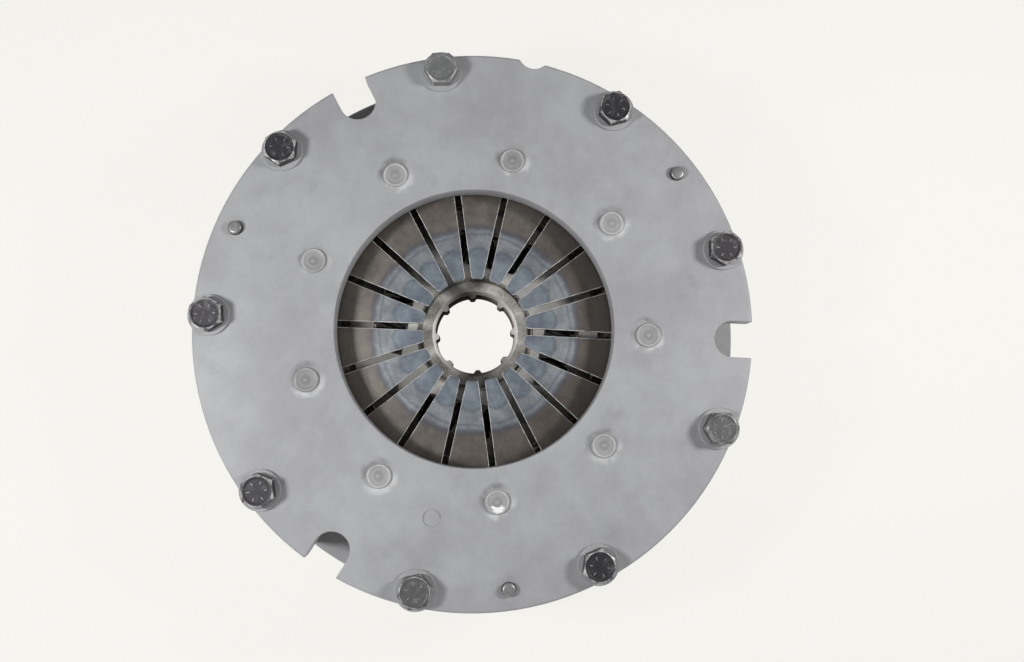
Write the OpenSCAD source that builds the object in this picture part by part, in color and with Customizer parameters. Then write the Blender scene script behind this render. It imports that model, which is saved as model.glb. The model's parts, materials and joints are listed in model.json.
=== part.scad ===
// Power take-off clutch, 330 mm, with a diaphragm spring and a sprung driven disc.
// Millimetres. The origin is the centre of the back plate's rear face, +Z points to the cover.
// Angles start at +X and turn towards +Y.

/* [Housing] */
// Outer diameter shared by the cover, the housing ring and the back plate
outer_d = 330; // [316:1:400]
// Thickness of the cover plate
cover_t = 14.5; // [12:0.5:18]
// Wall of the cover between the fulcrum rivets' circle and the release bearing's hole
cover_eye_wall = 20; // [14:0.5:24]
// Height of the housing ring between the cover and the back plate
ring_h = 40; // [39:0.5:50]
// Wall of the housing ring
ring_wall = 21.5; // [19:0.5:24]
// Thickness of the back plate
back_t = 15.5; // [14:0.5:25]
// Play round the disc damper in the back plate's hole
back_eye_play = 2; // [1:0.1:4]
// Bevel on the outer edges of the housing
edge_bevel = 1.0; // [0.3:0.1:2]

/* [Housing openings] */
// Width of the round-ended notches in the cover's rim
notch_w = 21.5; // [16:0.5:26]
// Distance from the rim to the inner end of a cover notch
notch_depth = 23; // [15:0.2:30]
// Width of the ring windows below the cover notches
window_w = 32; // [27:0.5:32.5]
// Height of the ring's sill below those windows and the pressure plate's lugs
ring_sill = 3; // [2:0.5:6]
// Radius of the small timing notch in the cover's rim
timing_notch_r = 9.5; // [7:0.5:12]
// Depth of the timing notch
timing_notch_depth = 4.3; // [2:0.1:6]
// Diameter of the shallow dimple in the cover
dimple_d = 10; // [4:1:12]
// Depth of that dimple
dimple_depth = 0.4; // [0.2:0.1:1]
// Distance from the fulcrum rivets' circle out to the dimple
dimple_out = 11; // [8:0.5:20]

/* [Bolts and pins] */
// Number of cover bolts
bolt_count = 9; // [9]
// Distance from the rim to the circle of bolts
bolt_edge = 10; // [9:0.5:11]
// Thread diameter of the bolts
bolt_d = 12; // [10:1:14]
// Length of a bolt below its head
bolt_len = 90; // [86:1:110]
// Length of the threaded end of a bolt
thread_len = 30; // [20:1:40]
// Step from the plain shank in to the thread, which is drawn plain at its mean diameter
thread_step = 0.55; // [0.4:0.05:0.7]
// Width of a bolt head across its flats
head_af = 18; // [17:0.5:19]
// Height of a bolt head
head_h = 7.5; // [6:0.5:10]
// Outer diameter of the washers
washer_d = 24; // [22:0.5:26]
// Thickness of the washers
washer_t = 2.5; // [1.5:0.1:3]
// Play between a bolt and the wall of its hole in the cover, the ring and the washer
bolt_play = 0.5; // [0.2:0.1:0.8]
// Play between a bolt and the wall of its hole in the back plate
back_bolt_play = 1.25; // [1.25:0.05:2]
// Diameter of the dowel pins
pin_d = 8; // [6:0.5:10]
// Distance from the rim to the circle of dowel pins
pin_edge = 12.5; // [8:0.5:15]
// Height of a dowel pin above the cover
pin_proud = 3.5; // [1:0.5:6]
// Depth of a dowel pin in the back plate
pin_depth = 12; // [6:0.5:13.5]
// Bevel on the visible end of a dowel pin
pin_bevel = 0.7; // [0.2:0.1:1]

/* [Diaphragm spring] */
// Number of fingers
finger_count = 18; // [18]
// Diameter of the circle of finger tips
tip_circle_d = 62; // [56:1:70]
// Distance from the pressure plate's edge in to the spring's edge
spring_step = 13; // [12.5:0.1:14]
// Thickness of the spring steel
spring_t = 3.8; // [3:0.1:4.2]
// Slope of the cone at rest, in degrees
cone_deg = 5.7; // [5:0.1:6]
// Diameter of the circle where the fingers bend to the flatter tips
tip_bend_d = 92; // [80:1:100]
// Slope of the tips at rest, in degrees
tip_deg = 1.7; // [0:0.1:4]
// Width of the slots between the fingers
slot_w = 4; // [3:0.1:5]
// Play round a fulcrum rivet in the hole at the outer end of a slot
keyhole_play = 1; // [0.5:0.1:1.5]

/* [Fulcrum] */
// Distance from the ridge in to the circle of fulcrum rivets
rivet_step = 21.5; // [20:0.5:24]
// Diameter of a fulcrum rivet where it crosses the diaphragm spring
rivet_shoulder_d = 10.6; // [9.5:0.1:11]
// Diameter of a fulcrum rivet inside the cover
rivet_shank_d = 9; // [7:0.1:9.3]
// Diameter of a fulcrum rivet's visible head
rivet_head_d = 13.5; // [12:0.1:16]
// Height of that head
rivet_head_h = 1.8; // [1:0.1:3]
// Lip of the rivet's flange outside the rear fulcrum ring
rivet_flange_lip = 0.5; // [0.2:0.1:1]
// Thickness of that flange
rivet_flange_t = 2; // [1.5:0.1:2.2]
// Wire diameter of the two fulcrum rings
wire_d = 5; // [4.5:0.1:5.2]
// Gap between the ends of a fulcrum ring
wire_split = 2; // [1:0.5:6]
// Play between a fulcrum ring and the rivets that centre it
wire_play = 0.2; // [0.1:0.1:0.5]

/* [Pressure plate] */
// Gap between the pressure plate and the housing ring
plate_gap = 2.5; // [1:0.1:4]
// Step from the facings' inner edge out to the pressure plate's
plate_eye_step = 2; // [1:0.5:4]
// Height of the plate's rim above the plate inside the ridge
plate_rim_step = 2; // [0.5:0.1:3]
// Distance from the spring's edge in to the ridge
ridge_step = 4; // [3.5:0.1:5]
// Radius of the ridge's rounded top
ridge_top_r = 2.5; // [2:0.1:3]
// Play between the ridge and the diaphragm spring
ridge_play = 0.25; // [0.2:0.05:0.4]
// Width of the vents that cross the ridge
vent_w = 14; // [8:1:20]
// Height of the vents' floor above the plate's rim
vent_rise = 0.6; // [0.3:0.1:1.5]
// Width of a drive lug
lug_w = 30; // [24:0.5:31]
// Distance from the rim in to the outer face of a drive lug
lug_edge = 7; // [3:0.5:14]
// Height of a drive lug's rear face above the friction face
lug_rise = 1.9; // [1:0.1:5]
// Distance from the rim's front face down to a drive lug's
lug_drop = 0.6; // [0.3:0.1:2]
// Play on each side of a drive lug in its slot
lug_play = 0.3; // [0.2:0.05:0.5]
// Distance that the pressure plate lifts when the clutch is released
lift = 1.6; // [1:0.1:1.7]
// Play that is left below the fulcrum rivets at full lift
lift_play = 0.9; // [0.5:0.1:2]

/* [Retractor clips] */
// Thickness of the clip steel
clip_t = 2; // [1.5:0.1:2.2]
// Width of a clip
clip_w = 18; // [16:0.5:24]
// Distance from the spring's edge to a clip
clip_gap = 1.3; // [1:0.1:1.6]
// Reach of a clip over the spring's edge
clip_reach = 2.5; // [1.5:0.1:3]
// Play between a clip and the diaphragm spring
clip_play = 0.3; // [0.2:0.05:0.5]
// Thread diameter of the clip screws
screw_d = 5; // [4:0.5:5.5]
// Diameter of a clip screw's head
screw_head_d = 7.6; // [7:0.1:8]
// Height of a clip screw's head
screw_head_h = 4; // [3:0.5:5]
// Depth of a clip screw in the pressure plate
screw_depth = 9; // [6:0.5:11]

/* [Driven disc] */
// Step from the pressure plate's edge in to the facings'
facing_step = 2.5; // [1:0.1:5]
// Play between the damper plates and the facings' inner edge
facing_eye_play = 4.5; // [3:0.1:6]
// Thickness of one facing
facing_t = 3.8; // [3.6:0.1:4.2]
// Width of the grooves in a facing
groove_w = 2; // [1:0.1:3]
// Depth of the grooves in a facing
groove_depth = 0.8; // [0.4:0.1:1.2]
// Number of grooves in a facing
groove_count = 18; // [18]
// Thickness of the cushion segments between the facings
cushion_t = 1.6; // [1.4:0.1:2]
// Number of cushion segments
segment_count = 9; // [9]
// Gap between neighbouring cushion segments
segment_gap = 3; // [2:0.5:6]
// Edge of metal inside the segment rivets' circle on a cushion segment's foot
segment_foot_edge = 5; // [4:0.1:6]
// Diameter of the facing rivets
facing_rivet_d = 4; // [3:0.1:4.5]
// Diameter of the facing rivets' heads
facing_rivet_head_d = 7; // [6:0.1:8]
// Thickness of the facing rivets' heads
facing_rivet_head_t = 0.9; // [0.6:0.1:1.2]
// Distance from the facings' inner edge to the inner circle of rivets
facing_rivet_in_edge = 14.5; // [10:0.5:17]
// Distance from the facings' outer edge to the outer circle of rivets
facing_rivet_out_edge = 13.5; // [10:0.5:17]

/* [Damper] */
// Edge of metal outside the segment rivets' circle on the damper plates
damper_edge = 5; // [4.5:0.1:6]
// Thickness of the drive plate in front of the hub flange
drive_plate_t = 3; // [2.5:0.1:3.5]
// Thickness of the retainer plate behind the hub flange
retainer_t = 2.5; // [2:0.1:3]
// Number of damper springs
damper_count = 4; // [4]
// Distance from the hub's barrel to the middle of a damper spring
damper_out = 19.5; // [18.5:0.1:22]
// Outer diameter of a damper spring
coil_d = 19; // [17:0.1:19.5]
// Wire diameter of a damper spring
coil_wire_d = 4; // [3:0.1:4.4]
// Length of a damper spring
coil_len = 46; // [44:0.5:47]
// Turns of a damper spring
coil_turns = 7; // [6:1:8]
// Play at each end of a damper spring
coil_play = 0.2; // [0.1:0.05:0.4]
// Play beside a damper spring in its window, measured along a radius
damper_window_play = 1.3; // [0.5:0.1:1.5]
// Distance from the middle of the damper springs out to the stop pins
stop_out = 8.5; // [7:0.5:10]
// Diameter of a stop pin between the plates
stop_d = 9; // [8:0.1:9.5]
// Diameter of a stop pin's ends inside the plates
stop_end_d = 6; // [5:0.1:6.5]
// Thickness of a stop pin's heads
stop_head_t = 1.5; // [1:0.1:1.8]
// Diameter of the segment rivets
segment_rivet_d = 5; // [4:0.1:5.5]
// Distance from the stop pins' circle out to the segment rivets'
segment_rivet_out = 11; // [10.5:0.1:13]
// Diameter of the segment rivets' heads
segment_rivet_head_d = 8; // [7:0.1:8.5]
// Thickness of the segment rivets' heads
segment_rivet_head_t = 1.3; // [1:0.1:1.4]
// Angle that the hub turns each way against the damper springs
twist_deg = 8; // [6:0.5:9]
// Thickness of the front friction ring
front_ring_t = 2.1; // [1.9:0.1:2.5]
// Thickness of the rear friction ring
rear_ring_t = 1.6; // [1.2:0.1:2]
// Width of the friction rings round the hub's barrel
friction_ring_w = 6; // [4:0.1:7]
// Wall of the front friction ring's sleeve
sleeve_wall = 2.2; // [1.5:0.1:3]
// Thickness of the conical load washer
load_washer_t = 0.9; // [0.6:0.1:1.1]
// Height of the conical load washer
load_washer_h = 1.6; // [1.4:0.1:2]

/* [Hub] */
// Wall of the hub's barrel outside the spline bore
barrel_wall = 9; // [6:0.1:12]
// Length of the barrel in front of the hub flange
barrel_front = 8.2; // [6:0.1:12]
// Length of the barrel behind the hub flange
barrel_rear = 13.3; // [8:0.1:13.7]
// Thickness of the hub flange
flange_t = 5; // [4:0.1:6]
// Edge of the hub flange outside the stop pins' circle
flange_edge = 5; // [3:0.1:5.5]
// Diameter of the spline bore between its teeth
bore_d = 50; // [46:0.5:54]
// Number of spline teeth
tooth_count = 8; // [8]
// Height of a spline tooth
tooth_h = 2.2; // [1.5:0.1:3]
// Width of a spline tooth at its foot
tooth_foot_w = 5; // [4:0.1:6]
// Width of a spline tooth at its tip
tooth_tip_w = 2.4; // [1.5:0.1:3.5]
// Bevel at both ends of the bore
bore_bevel = 1.6; // [0.5:0.1:2.5]
// Running play between the hub and what turns on it
running_play = 0.05; // [0.02:0.01:0.1]

/* [Hidden] */
$fn = 96;
cut = 1;

// From the rim inwards
outer_r = outer_d / 2;
bolt_r = outer_r - bolt_edge;
pin_r = outer_r - pin_edge;
notch_end_r = outer_r - notch_depth;
lug_end_r = outer_r - lug_edge;
ring_inner_r = outer_r - ring_wall;
plate_r = ring_inner_r - plate_gap;
facing_r = plate_r - facing_step;
spring_r = plate_r - spring_step;
ridge_r = spring_r - ridge_step;
rivet_r = ridge_r - rivet_step;
cover_eye_r = rivet_r - cover_eye_wall;
dimple_r = rivet_r + dimple_out;

// From the axis outwards
bore_r = bore_d / 2;
barrel_r = bore_r + barrel_wall;
ring_bore_r = barrel_r + running_play;
sleeve_r = ring_bore_r + sleeve_wall;
friction_ring_r = barrel_r + friction_ring_w;
damper_r = barrel_r + damper_out;
stop_r = damper_r + stop_out;
flange_r = stop_r + flange_edge;
segment_rivet_r = stop_r + segment_rivet_out;
segment_foot_r = segment_rivet_r - segment_foot_edge;
damper_plate_r = segment_rivet_r + damper_edge;
back_eye_r = damper_plate_r + back_eye_play;
facing_eye_r = damper_plate_r + facing_eye_play;
plate_eye_r = facing_eye_r + plate_eye_step;
facing_rivet_in_r = facing_eye_r + facing_rivet_in_edge;
facing_rivet_out_r = facing_r - facing_rivet_out_edge;
damper_window_w = coil_d + 2 * damper_window_play;

ring_z = back_t;
cover_rear_z = back_t + ring_h;
cover_front_z = cover_rear_z + cover_t;
head_z = cover_front_z + washer_t;

// Places round the axis, in degrees
bolt_phase = 20;
pin_phase = 40;
notch_phase = 0;
timing_angle = 80.4;
lug_phase = 80;
clip_phase = 20;
dimple_angle = 260;
damper_phase = 80;
spline_phase = 6.5;
// How far each bolt head happens to be turned, counted from the same line as the bolts' places
head_turns = [33, 18, 3, 28, 36, 40, 14, 25, 3];

bolt_hole_r = bolt_d / 2 + bolt_play;
keyhole_r = rivet_shoulder_d / 2 + keyhole_play;
fulcrum_r = rivet_r + rivet_shoulder_d / 2 + wire_play + wire_d / 2;
rivet_flange_r = fulcrum_r + wire_d / 2 + rivet_flange_lip - rivet_r;
// The wire touches the cover above it and the cone below it
wire_rise = wire_d / 2 / cos(cone_deg);
front_wire_z = cover_rear_z - wire_d / 2;
fulcrum_top_z = front_wire_z - wire_rise;
spring_drop = spring_t / cos(cone_deg);
rear_wire_z = fulcrum_top_z - spring_drop - wire_rise;
rivet_flange_z = rear_wire_z - wire_d / 2;

tip_r = tip_circle_d / 2;
tip_bend_r = tip_bend_d / 2;

function cone_top_z(r) = fulcrum_top_z - (r - fulcrum_r) * tan(cone_deg);
function cone_bottom_z(r) = cone_top_z(r) - spring_drop;

rear_facing_z = back_t;
cushion_z = rear_facing_z + facing_t;
front_facing_z = cushion_z + cushion_t;
plate_z = front_facing_z + facing_t;
plate_inner_top_z = rivet_flange_z - rivet_flange_t - lift - lift_play;
plate_rim_top_z = plate_inner_top_z + plate_rim_step;
ridge_top_z = cone_bottom_z(ridge_r) - ridge_play;
lug_z = plate_z + lug_rise;
lug_h = plate_rim_top_z - lug_drop - lug_z;

drive_plate_z = front_facing_z;
flange_z = drive_plate_z - front_ring_t - flange_t;
rear_ring_z = flange_z - rear_ring_t;
load_washer_z = rear_ring_z - load_washer_h;
retainer_z = load_washer_z - retainer_t;
drive_plate_top_z = drive_plate_z + drive_plate_t;
coil_z = (drive_plate_top_z + retainer_z) / 2;
hub_rear_z = flange_z - barrel_rear;
hub_front_z = flange_z + flange_t + barrel_front;

stop_phase = damper_phase + 180 / damper_count;
stop_notch_deg = twist_deg + asin(stop_d / 2 / stop_r);
segment_deg = 360 / segment_count;
segment_rivet_turn = 8;

// Copies turned evenly round the axis, the first at the angle phase
module around(count, phase = 0) {
    for (i = [0 : count - 1])
        rotate([0, 0, phase + i * 360 / count])
            children();
}

// A disc with a hole and bevelled outer edges
module bevelled_ring(r_in, r_out, h, bevel) {
    rotate_extrude()
        polygon([[r_in, 0], [r_out - bevel, 0], [r_out, bevel],
                 [r_out, h - bevel], [r_out - bevel, h], [r_in, h]]);
}

// A flat washer or ring standing on z = 0
module flat_ring(r_in, r_out, h) {
    difference() {
        cylinder(r = r_out, h = h);
        translate([0, 0, -cut])
            cylinder(r = r_in, h = h + 2 * cut);
    }
}

// A hole that runs past both faces of a plate of thickness h standing on z = 0
module through_hole(r, h) {
    translate([0, 0, -cut])
        cylinder(r = r, h = h + 2 * cut);
}

// The bolt and pin holes through a plate of thickness h
module housing_holes(h, hole_r = bolt_hole_r) {
    around(bolt_count, bolt_phase)
        translate([bolt_r, 0, 0])
            through_hole(hole_r, h);
    around(3, pin_phase)
        translate([pin_r, 0, 0])
            through_hole(pin_d / 2, h);
}

// Outline of a slot along +X with a round inner end
module round_slot(w, end_r, out_r) {
    translate([end_r + w / 2, 0])
        circle(d = w);
    translate([end_r + w / 2, -w / 2])
        square([out_r - end_r, w]);
}

// Cover plate: the release bearing's eye, rim notches, timing notch and dimple
module cover() {
    timing_centre_r = outer_r - timing_notch_depth + timing_notch_r;
    color("lightgray")
    translate([0, 0, cover_rear_z])
    difference() {
        bevelled_ring(cover_eye_r, outer_r, cover_t, edge_bevel);
        housing_holes(cover_t);
        around(bolt_count, 0)
            translate([rivet_r, 0, 0])
                through_hole(rivet_shank_d / 2, cover_t);
        around(3, notch_phase)
            translate([0, 0, -cut])
                linear_extrude(cover_t + 2 * cut)
                    round_slot(notch_w, notch_end_r, outer_r);
        rotate([0, 0, timing_angle])
            translate([timing_centre_r, 0, 0])
                through_hole(timing_notch_r, cover_t);
        rotate([0, 0, dimple_angle])
            translate([dimple_r, 0, cover_t - dimple_depth])
                cylinder(d = dimple_d, h = dimple_depth + cut);
    }
}

// Housing ring: three windows below the cover's notches and three slots for the drive lugs
module housing_ring() {
    color("silver")
    translate([0, 0, ring_z])
    difference() {
        bevelled_ring(ring_inner_r, outer_r, ring_h, edge_bevel);
        housing_holes(ring_h);
        around(3, notch_phase)
            translate([ring_inner_r - 10, -window_w / 2, ring_sill])
                cube([outer_r, window_w, ring_h]);
        around(3, lug_phase)
            translate([ring_inner_r - 10, -lug_w / 2 - lug_play, ring_sill])
                cube([outer_r, lug_w + 2 * lug_play, ring_h]);
    }
}

// Back plate: its front face is the rear friction face
module back_plate() {
    color("dimgray")
    difference() {
        bevelled_ring(back_eye_r, outer_r, back_t, edge_bevel);
        housing_holes(back_t, bolt_d / 2 + back_bolt_play);
    }
}

// A hexagon bolt with a bevelled head, its seat at z = 0 and its shank along -Z
module hex_bolt(turn) {
    end_bevel = 1.2;
    thread_r = bolt_d / 2 - thread_step;
    corner_r = head_af / 2 / cos(30);
    top_bevel = corner_r - head_af * 0.475;
    rotate([0, 0, turn])
    intersection() {
        cylinder(r = corner_r, h = head_h, $fn = 6);
        rotate_extrude()
            polygon([[0, 0], [corner_r, 0], [corner_r, head_h - top_bevel * tan(30)],
                     [corner_r - top_bevel, head_h], [0, head_h]]);
    }
    rotate_extrude()
        polygon([[0, 0], [bolt_d / 2, 0], [bolt_d / 2, thread_len - bolt_len + thread_step],
                 [thread_r, thread_len - bolt_len], [thread_r, end_bevel - bolt_len],
                 [thread_r - end_bevel, -bolt_len], [0, -bolt_len]]);
}

// Nine bolts that clamp the housing and stand out behind the back plate
module cover_bolts() {
    color([0.22, 0.22, 0.23])
    for (i = [0 : bolt_count - 1]) {
        place = bolt_phase + i * 360 / bolt_count;
        rotate([0, 0, place])
            translate([bolt_r, 0, head_z])
                hex_bolt(head_turns[i] - place);
    }
}

module bolt_washers() {
    color([0.55, 0.55, 0.56])
    around(bolt_count, bolt_phase)
        translate([bolt_r, 0, cover_front_z])
            flat_ring(bolt_hole_r, washer_d / 2, washer_t);
}

module dowel_pins() {
    bottom_z = back_t - pin_depth;
    top_z = cover_front_z + pin_proud;
    color("gainsboro")
    around(3, pin_phase)
        translate([pin_r, 0, 0])
            rotate_extrude()
                polygon([[0, bottom_z], [pin_d / 2 - pin_bevel, bottom_z],
                         [pin_d / 2, bottom_z + pin_bevel], [pin_d / 2, top_z - pin_bevel],
                         [pin_d / 2 - pin_bevel, top_z], [0, top_z]]);
}

// Conical spring with fingers: the slots end in round holes, and every other hole holds a rivet
module diaphragm_spring() {
    bend_top = cone_top_z(tip_bend_r);
    tip_top = bend_top + (tip_bend_r - tip_r) * tan(tip_deg);
    color([0.42, 0.44, 0.48])
    difference() {
        rotate_extrude()
            polygon([[tip_r, tip_top], [tip_bend_r, bend_top], [spring_r, cone_top_z(spring_r)],
                     [spring_r, cone_bottom_z(spring_r)], [tip_bend_r, bend_top - spring_drop],
                     [tip_r, tip_top - spring_drop]]);
        around(finger_count, 0) {
            translate([0, -slot_w / 2, rivet_flange_z])
                cube([rivet_r, slot_w, cover_front_z - rivet_flange_z]);
            translate([rivet_r, 0, rivet_flange_z])
                cylinder(r = keyhole_r, h = cover_front_z - rivet_flange_z);
        }
    }
}

// Shouldered rivets: the flange carries the rear ring and the head closes on the cover
module fulcrum_rivets() {
    rim_w = 1.5;
    rim_h = 0.5;
    punch_r = 1;
    flange_bottom_z = rivet_flange_z - rivet_flange_t;
    head_top_z = cover_front_z + rivet_head_h;
    head_r = rivet_head_d / 2;
    color("darkgray")
    around(bolt_count, 0)
        translate([rivet_r, 0, 0])
            rotate_extrude()
                polygon([[0, flange_bottom_z], [rivet_flange_r, flange_bottom_z],
                         [rivet_flange_r, rivet_flange_z],
                         [rivet_shoulder_d / 2, rivet_flange_z],
                         [rivet_shoulder_d / 2, cover_rear_z], [rivet_shank_d / 2, cover_rear_z],
                         [rivet_shank_d / 2, cover_front_z], [head_r, cover_front_z],
                         [head_r, head_top_z - rim_h], [head_r - rim_h, head_top_z],
                         [head_r - rim_w, head_top_z], [head_r - rim_w - rim_h, head_top_z - rim_h],
                         [punch_r, head_top_z - rim_h], [0, head_top_z - rim_h - punch_r]]);
}

// A wire ring with a small gap between its ends
module fulcrum_ring(z, gap_angle) {
    color("slategray")
    difference() {
        translate([0, 0, z])
            rotate_extrude()
                translate([fulcrum_r, 0])
                    circle(d = wire_d, $fn = 48);
        rotate([0, 0, gap_angle])
            translate([fulcrum_r - wire_d, -wire_split / 2, z - wire_d])
                cube([2 * wire_d, wire_split, 2 * wire_d]);
    }
}

module fulcrum_ring_front() { fulcrum_ring(front_wire_z, 70); }

module fulcrum_ring_rear() { fulcrum_ring(rear_wire_z, 250); }

// Where a clip's foot starts, outside the ridge and the spring's edge
clip_r = spring_r + clip_gap;
screw_r = (clip_r + clip_t + plate_r) / 2;

// Cast plate with a rounded ridge, vents across it and three drive lugs
module pressure_plate() {
    ridge_shoulder = 2.5;
    foot_in_r = ridge_r - 10;
    foot_out_r = ridge_r + 4.3;
    shoulder_z = ridge_top_z - ridge_top_r;
    rounded_top = [for (a = [0 : 15 : 180])
        [ridge_r + ridge_top_r * cos(a), shoulder_z + ridge_top_r * sin(a)]];
    bevel = 0.8;
    color([0.35, 0.34, 0.33])
    difference() {
        union() {
            rotate_extrude()
                polygon([[plate_eye_r, plate_z], [plate_r - bevel, plate_z],
                         [plate_r, plate_z + bevel], [plate_r, plate_rim_top_z],
                         [foot_out_r, plate_rim_top_z], each rounded_top,
                         [foot_in_r + ridge_shoulder, plate_rim_top_z],
                         [foot_in_r, plate_inner_top_z], [plate_eye_r, plate_inner_top_z]]);
            around(3, lug_phase)
                translate([0, 0, lug_z])
                    linear_extrude(lug_h)
                        drive_lug_outline();
        }
        around(9, clip_phase + 20)
            translate([foot_in_r - 2, -vent_w / 2, plate_rim_top_z + vent_rise])
                cube([foot_out_r - foot_in_r + 4, vent_w, ridge_top_z]);
        around(3, clip_phase)
            translate([screw_r, 0, plate_rim_top_z - screw_depth])
                cylinder(d = screw_d, h = screw_depth + cut);
    }
}

// A drive lug seen from the front, with rounded outer corners
module drive_lug_outline() {
    corner_r = 4;
    root_r = plate_r - 6;
    translate([root_r, -lug_w / 2])
        square([lug_end_r - corner_r - root_r, lug_w]);
    translate([root_r, -lug_w / 2 + corner_r])
        square([lug_end_r - root_r, lug_w - 2 * corner_r]);
    for (side = [-1, 1])
        translate([lug_end_r - corner_r, side * (lug_w / 2 - corner_r)])
            circle(r = corner_r);
}

// Bent clips that hold the spring's edge on the ridge
module retractor_clips() {
    foot_end_r = plate_r - 1;
    hook_z = cone_top_z(spring_r - clip_reach) + clip_play;
    color("slategray")
    around(3, clip_phase)
        difference() {
            rotate([90, 0, 0])
                translate([0, 0, -clip_w / 2])
                    linear_extrude(clip_w)
                        polygon([[clip_r, plate_rim_top_z], [foot_end_r, plate_rim_top_z],
                                 [foot_end_r, plate_rim_top_z + clip_t],
                                 [clip_r + clip_t, plate_rim_top_z + clip_t],
                                 [clip_r + clip_t, hook_z + clip_t],
                                 [spring_r - clip_reach, hook_z + clip_t],
                                 [spring_r - clip_reach, hook_z], [clip_r, hook_z]]);
            translate([screw_r, 0, plate_rim_top_z])
                through_hole(screw_d / 2, clip_t);
        }
}

module clip_screws() {
    seat_z = plate_rim_top_z + clip_t;
    socket_af = 4;
    color([0.25, 0.25, 0.26])
    around(3, clip_phase)
        translate([screw_r, 0, seat_z])
            difference() {
                union() {
                    cylinder(d = screw_head_d, h = screw_head_h);
                    translate([0, 0, -screw_depth - clip_t])
                        cylinder(d = screw_d, h = screw_depth + clip_t);
                }
                translate([0, 0, screw_head_h / 2])
                    cylinder(d = socket_af / cos(30), h = screw_head_h, $fn = 6);
            }
}

// Places the children at each facing rivet: side 1 has its heads in front, side -1 behind
module facing_rivet_places(side) {
    turn = segment_deg / 4;
    around(segment_count, side * turn)
        translate([facing_rivet_out_r, 0, 0])
            children();
    around(segment_count, -side * turn)
        translate([facing_rivet_in_r, 0, 0])
            children();
}

// A friction facing standing on z = 0 with its friction face up
module facing(side) {
    head_hole_r = facing_rivet_head_d / 2 + 1;
    head_seat_z = facing_t / 2;
    difference() {
        flat_ring(facing_eye_r, facing_r, facing_t);
        around(groove_count, 0)
            translate([0, -groove_w / 2, facing_t - groove_depth])
                cube([outer_r, groove_w, facing_t]);
        facing_rivet_places(side)
            through_hole(facing_rivet_d / 2, facing_t);
        facing_rivet_places(side)
            translate([0, 0, head_seat_z])
                cylinder(r = head_hole_r, h = facing_t);
        facing_rivet_places(-side)
            through_hole(head_hole_r, facing_t);
    }
}

module facing_front() {
    color([0.45, 0.38, 0.28])
    translate([0, 0, front_facing_z])
        facing(1);
}

module facing_rear() {
    color([0.45, 0.38, 0.28])
    translate([0, 0, cushion_z])
        mirror([0, 0, 1])
            facing(-1);
}

// Steel segments between the facings, each with a foot on the drive plate
module cushion_segments() {
    blade_in_r = facing_eye_r + 2;
    blade_out_r = facing_r - 1;
    foot_w = 30;
    color("gray")
    around(segment_count, 0)
        translate([0, 0, cushion_z])
            linear_extrude(cushion_t)
                difference() {
                    union() {
                        segment_blade(blade_in_r, blade_out_r);
                        intersection() {
                            translate([0, -foot_w / 2])
                                square([blade_in_r + 5, foot_w]);
                            difference() {
                                circle(r = blade_in_r + 3);
                                circle(r = segment_foot_r);
                            }
                        }
                    }
                    for (turn = [-segment_deg / 4, segment_deg / 4]) {
                        rotate(turn)
                            translate([facing_rivet_out_r, 0])
                                circle(d = facing_rivet_d);
                        rotate(turn)
                            translate([facing_rivet_in_r, 0])
                                circle(d = facing_rivet_d);
                    }
                    for (turn = [-segment_rivet_turn, segment_rivet_turn])
                        rotate(turn)
                            translate([segment_rivet_r, 0])
                                circle(d = segment_rivet_d);
                }
}

// Sector of a ring, cut parallel to its side radii so that neighbours stay segment_gap apart
module segment_blade(r_in, r_out) {
    difference() {
        circle(r = r_out);
        circle(r = r_in);
        for (side = [-1, 1])
            rotate(side * segment_deg / 2)
                translate([-outer_r, side > 0 ? -segment_gap / 2 : -outer_d + segment_gap / 2])
                    square([outer_d, outer_d]);
    }
}

// Tubular rivets through both facings' cushion, with their heads sunk in one facing
module facing_rivets() {
    seat = facing_t / 2;
    length = seat + cushion_t;
    color("peru")
    for (side = [-1, 1])
        facing_rivet_places(side)
            translate([0, 0, cushion_z + cushion_t / 2])
                mirror([0, 0, side > 0 ? 0 : 1])
                    facing_rivet(seat, length);
}

// One rivet round the middle of the cushion, with its head towards +Z
module facing_rivet(seat, length) {
    head_z = cushion_t / 2 + seat;
    closed_head_t = 0.8;
    hollow_r = facing_rivet_d / 2 - 0.9;
    rotate_extrude()
        polygon([[hollow_r, head_z - length - closed_head_t],
                 [facing_rivet_head_d / 2, head_z - length - closed_head_t],
                 [facing_rivet_head_d / 2, head_z - length],
                 [facing_rivet_d / 2, head_z - length], [facing_rivet_d / 2, head_z],
                 [facing_rivet_head_d / 2, head_z],
                 [facing_rivet_head_d / 2, head_z + facing_rivet_head_t],
                 [hollow_r, head_z + facing_rivet_head_t]]);
}

// Outline of a damper window at +X
module damper_window() {
    window_len = coil_len + 2 * coil_play;
    translate([damper_r - damper_window_w / 2, -window_len / 2])
        square([damper_window_w, window_len]);
}

// A plate of the damper: windows, stop pin holes and a centre hole of radius hole_r
module damper_plate(t, hole_r) {
    linear_extrude(t)
        difference() {
            circle(r = damper_plate_r);
            circle(r = hole_r);
            around(damper_count, damper_phase)
                damper_window();
            around(damper_count, stop_phase)
                translate([stop_r, 0])
                    circle(d = stop_end_d);
            children();
        }
}

module drive_plate() {
    color("darkgray")
    translate([0, 0, drive_plate_z])
        damper_plate(drive_plate_t, sleeve_r)
            segment_rivet_holes();
}

// Holes for two rivets in each cushion segment's foot
module segment_rivet_holes() {
    for (turn = [-segment_rivet_turn, segment_rivet_turn])
        around(segment_count, turn)
            translate([segment_rivet_r, 0])
                circle(d = segment_rivet_d);
}

module retainer_plate() {
    color("darkgray")
    translate([0, 0, retainer_z])
        damper_plate(retainer_t, sleeve_r);
}

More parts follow.
